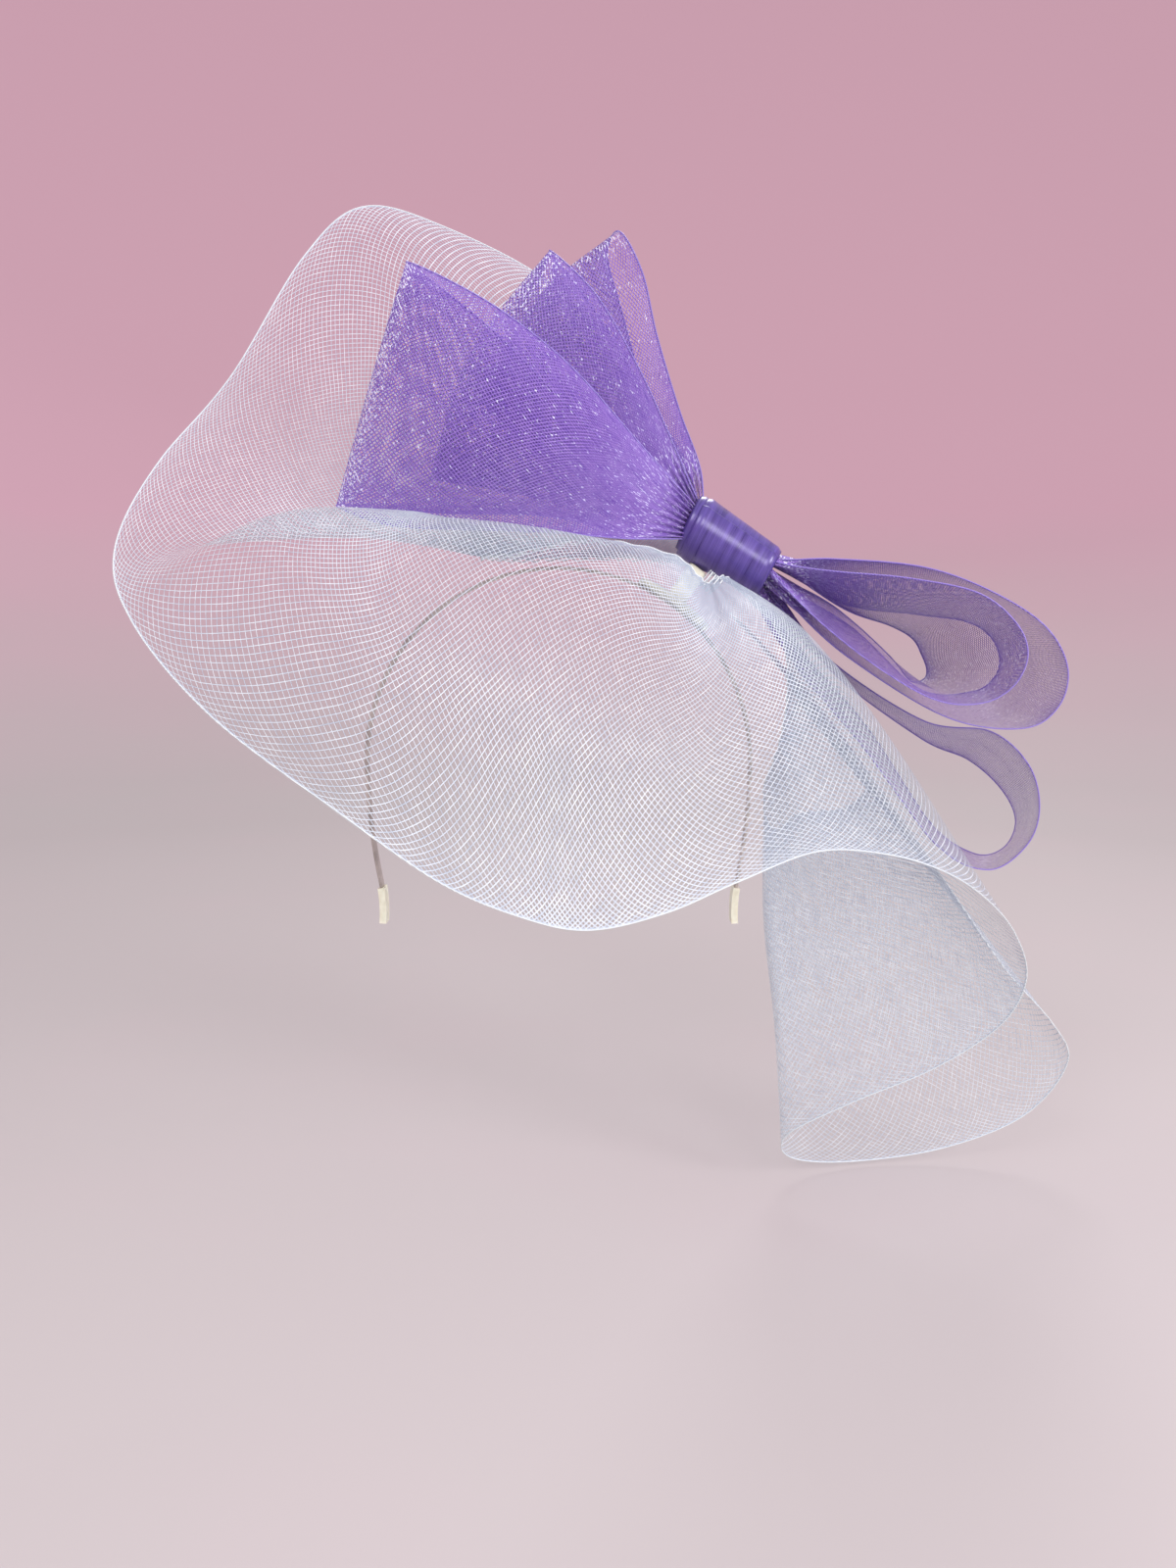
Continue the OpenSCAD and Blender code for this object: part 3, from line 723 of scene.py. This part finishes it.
def wrap_point(t, s, tension):
    """A point on the ribbon, t turns from its start and a share s of the way across it."""
    start_angle = math.radians(200)
    first_radius, layer, crease = 0.01100, 0.00052, 0.00001
    step_along, askew = 0.0026, 0.0013
    angle = start_angle + 2 * math.pi * t

    # The second turn lies a little further along the knot, and every turn runs askew
    shift = step_along * fade(t, 0.7, 1.3) - step_along / 2
    slant = askew * math.sin(angle - 0.6)
    along = (s - 0.5) * WRAP_WIDTH * (1 - 0.03 * math.sin(angle * 0.5) ** 2)

    # The knot tapers, and the ribbon's two edges rise a little, then turn in
    taper = 0.0026 * (0.5 - s)
    to_edge = min(s, 1 - s)
    rise = 0.00028 * math.exp(-((to_edge - 0.05) / 0.035) ** 2)
    turned_in = 0.0009 * math.exp(-(to_edge / 0.05) ** 2)
    radius = first_radius + layer * t + taper + rise - turned_in
    for amp, freq, phase in tension:
        radius += crease * math.sin(s * (22 + 9 * freq) + phase + 0.5 * amp * math.sin(angle))
    return knot_point(along + shift + slant, angle, radius)


def satin_wrap():
    """The satin ribbon, wound a little over two turns, wider at the upper end of the knot."""
    around, across = 150, 40        # steps round one turn, and across the ribbon
    tension = np.random.default_rng(7).normal(0, 1, (5, 3))
    rows = int(WRAP_TURNS * around)
    places = [(i / around, j / across) for i in range(rows + 1) for j in range(across + 1)]
    verts = [wrap_point(t, s, tension) for t, s in places]
    u = np.array([t * 2 * math.pi * WRAP_RADIUS for t, s in places])
    v = np.array([s * WRAP_WIDTH for t, s in places])
    obj = mesh_object("satin_wrap", verts, grid_faces(rows + 1, across + 1), SATIN)
    set_uv(obj.data, "ribbon", np.stack([u, v], axis=1))
    thick = obj.modifiers.new("thickness", "SOLIDIFY")
    thick.thickness = WRAP_THICK
    thick.offset = 0
    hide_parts("knot_wrap")
    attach(obj, "root")


def wrap_stitches():
    """Small slanting stitches through the winding at the back of the knot."""
    count, spacing, slant, points = 5, 0.0068, 0.002, 12
    back, reach = 90, 24            # degrees round the knot: their middle, and their length
    foot, lift = 0.0124, 0.0007     # radius where they enter, and their rise between
    lines = []
    for k in range(count):
        along = (k - (count - 1) / 2) * spacing
        line = []
        for n in range(points + 1):
            s = n / points
            angle = math.radians(back + (s - 0.5) * reach)
            radius = foot + lift * math.sin(math.pi * s)
            line.append(knot_point(along + slant * (s - 0.5), angle, radius))
        lines.append(line)
    obj = tube_object("wrap_end_stitches", lines, WRAP_STITCH_RADIUS, PURPLE_THREAD)
    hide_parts("wrap_stitches")
    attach(obj, "root")


# ---------------------------------------------------------------- the base
def squared_circle(count, power):
    """Points round a square with rounded corners, from -1 to 1: a low power is squarer."""
    points = []
    for k in range(count):
        a = 2 * math.pi * k / count
        c, s = math.cos(a), math.sin(a)
        points.append((math.copysign(abs(c) ** power, c), math.copysign(abs(s) ** power, s)))
    return points


def rounded_slab(name, material, size, place, count):
    """A soft slab with rounded corners and edges. place maps (x, y, height) to the row frame."""
    sx, sy, sz = size
    uneven = 0.00012
    corner, inner_corner, inner_size = 2 / 5, 0.6, 0.28
    rng = np.random.default_rng(3)

    # Each ring's size as a share of the outline, and its share of the height
    rings = [(0.90, 0.0), (0.98, 0.12), (1.0, 0.35), (1.0, 0.65), (0.98, 0.88), (0.90, 1.0)]
    verts = []
    for scale, height in rings:
        for x, y in squared_circle(count, corner):
            dx, dy, dz = rng.normal(0, uneven, 3)
            on_side = 0.2 < height < 0.8
            verts.append(place(x * sx / 2 * scale + dx, y * sy / 2 * scale + dy,
                               height * sz + dz * on_side))
    faces = [tuple(f) for f in grid_faces(len(rings), count, closed=True)]

    # Each end is closed by an inner ring and a fan of triangles to its middle
    for ring, height in ((0, 0.0), (len(rings) - 1, 1.0)):
        inner = len(verts)
        verts += [place(x * sx * inner_size, y * sy * inner_size, height * sz)
                  for x, y in squared_circle(count, inner_corner)]
        verts.append(place(0, 0, height * sz))
        for k in range(count):
            n = (k + 1) % count
            quad = (ring * count + k, ring * count + n, inner + n, inner + k)
            tri = (inner + k, inner + n, inner + count)
            faces += [quad, tri] if ring else [quad[::-1], tri[::-1]]
    obj = mesh_object(name, verts, faces, material)
    sub = obj.modifiers.new("smooth", "SUBSURF")
    sub.levels = sub.render_levels = 1
    return obj


def base():
    pad_low, pad_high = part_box("base_pad")
    depth = pad_high[1] - pad_low[1]
    inner = BAND_OUTER + GLUE_GAP
    post_foot = 0.0788

    def on_band(x, y, height):
        angle = PAD_ANGLE + x / (inner + PAD_THICK / 2)
        radius = inner + height
        return (radius * math.sin(angle), y, radius * math.cos(angle))

    def on_pad(x, y, height):
        out = post_foot + height
        return (out * math.sin(PAD_ANGLE) + x * math.cos(PAD_ANGLE), KNOT_MID[1] + y,
                out * math.cos(PAD_ANGLE) - x * math.sin(PAD_ANGLE))

    pad = rounded_slab("felt_pad", CREAM_FELT, (PAD_LENGTH, depth, PAD_THICK), on_band, 96)
    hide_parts("base_pad")
    post = rounded_slab("felt_post", CREAM_FELT, POST_SIZE, on_pad, 32)
    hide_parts("base_post")
    for obj in (pad, post):
        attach(obj, "root")


def gather_stitches():
    """Whip stitches that bind the drawn-up net where it meets the base."""
    count, spacing, points = 4, 0.0016, 16
    wide, deep = 0.0036, 0.0022
    centre = np.array([0.0575, -0.0125, 0.0695])
    along = np.array([0.77, 0.0, -0.63])
    across = np.array([0.62, -0.25, 0.74])
    across /= np.linalg.norm(across)
    ahead = np.cross(across, [0.77, 0.1, -0.63])
    ahead /= np.linalg.norm(ahead)
    creep = np.array([0.0006, 0, -0.0005])      # how far one stitch climbs towards the next
    lines = []
    for k in range(count):
        middle = centre + along * (k - (count - 1) / 2) * spacing
        line = []
        for n in range(points + 1):
            a = 2 * math.pi * n / points
            line.append(middle + across * wide * math.cos(a) + ahead * deep * math.sin(a)
                        + creep * n / points)
        lines.append(line)
    obj = tube_object("gather_stitches", lines, GATHER_STITCH_RADIUS, WHITE_THREAD)
    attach(obj, "root")


def finish_cad_nodes():
    """Better materials on the metal band and its end sleeves, which keep their CAD shape."""
    for name, material in (("headband", STEEL), ("tip_left", SLEEVE), ("tip_right", SLEEVE)):
        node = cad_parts[name]
        node.data.materials.clear()
        node.data.materials.append(material)


# ---------------------------------------------------------------- camera, floor and light
def camera():
    """The view of the piece from in front, looking a little down."""
    place, down = (0.0116, -0.462, 0.044), 6.5
    data = bpy.data.cameras.new("camera")
    data.sensor_width = 36
    data.lens = 27
    data.clip_start = 0.01
    cam = bpy.data.objects.new("camera", data)
    cam.location = place
    cam.rotation_euler = (math.radians(90 - down), 0, 0)
    bpy.context.scene.collection.objects.link(cam)
    bpy.context.scene.camera = cam


def backdrop_paint(level):
    """Pale floor paint that warms to the wall's colour as it rises."""
    rise_height = 0.9
    paint = Paint("backdrop_paint")
    parts = paint.node("ShaderNodeSeparateXYZ")
    paint.link(paint.object_place(), parts.inputs[0])
    grain = paint.node("ShaderNodeTexNoise", Scale=30.0, Detail=3.0).outputs["Fac"]
    rise = paint.maths("DIVIDE", paint.maths("SUBTRACT", parts.outputs[2], level), rise_height)
    tone = paint.maths("ADD", rise,
                       paint.maths("MULTIPLY", paint.maths("SUBTRACT", grain, 0.5), 0.1))
    paint.feed("Base Color",
               paint.ramp(tone, 0.0, (0.54, 0.475, 0.49), 0.6, (0.72, 0.425, 0.525)))
    paint.set(Roughness=0.9)
    return paint.material


def backdrop():
    """A pale floor under the piece that curves up into a pale wall far behind, all round."""
    level = CAD_BOX[0][2] - FLOOR_GAP
    floor, bend, top, sides = 1.3, 1.1, 2.2, 64
    profile = [(r, 0.0) for r in (0.15, 0.4, 0.8, floor)]
    profile += [(floor + bend * math.sin(a), bend - bend * math.cos(a))
                for a in np.radians([15, 30, 45, 60, 75, 90])]
    profile += [(floor + bend, top)]
    verts = [(0, 0, level)]
    for r, z in profile:
        for k in range(sides):
            a = 2 * math.pi * k / sides
            verts.append((r * math.cos(a), r * math.sin(a), level + z))
    faces = [(0, 1 + k, 1 + (k + 1) % sides) for k in range(sides)]
    faces += [tuple(1 + i for i in f) for f in grid_faces(len(profile), sides, closed=True)]
    wall = mesh_object("backdrop", verts, faces, backdrop_paint(level))
    wall.visible_diffuse = False
    wall.visible_shadow = False


def soft_light(name, place, aim, size, power):
    data = bpy.data.lights.new(name, "AREA")
    data.shape = "DISK"
    data.size = size
    data.energy = power
    lamp = bpy.data.objects.new(name, data)
    lamp.location = place
    lamp.rotation_euler = (Vector(aim) - Vector(place)).to_track_quat("-Z", "Y").to_euler()
    bpy.context.scene.collection.objects.link(lamp)


def studio():
    world = bpy.data.worlds.new("studio")
    bpy.context.scene.world = world
    world.use_nodes = True
    sky = world.node_tree.nodes["Background"]
    sky.inputs["Color"].default_value = (1.0, 0.97, 0.98, 1)
    sky.inputs["Strength"].default_value = 0.70
    middle, right_loops = (0.03, 0, 0.03), (0.15, 0, 0.04)
    soft_light("key", (-0.5, -1.1, 1.0), middle, 0.6, 6.5)
    soft_light("fill", (0.5, -1.3, 0.5), middle, 0.5, 6)
    soft_light("back", (0.4, 1.2, 1.2), middle, 0.6, 7)
    soft_light("side", (1.1, -0.7, 0.45), right_loops, 0.5, 9)
    bpy.context.scene.view_settings.view_transform = "Standard"


camera()
backdrop()
studio()
white_grid = white_strip()
draw_thread(white_grid)
bow_strip("bow_front_strip", FRONT_PATH, "bow_strip_front", phase=0.0, fan_depth=0.0015)
bow_strip("bow_middle_strip", MIDDLE_PATH, "bow_strip_middle", phase=1.1, fan_depth=0.0022)
bow_strip("bow_back_strip", BACK_PATH, "bow_strip_back", phase=2.2, fan_depth=0.0032)
satin_wrap()
wrap_stitches()
base()
gather_stitches()
finish_cad_nodes()
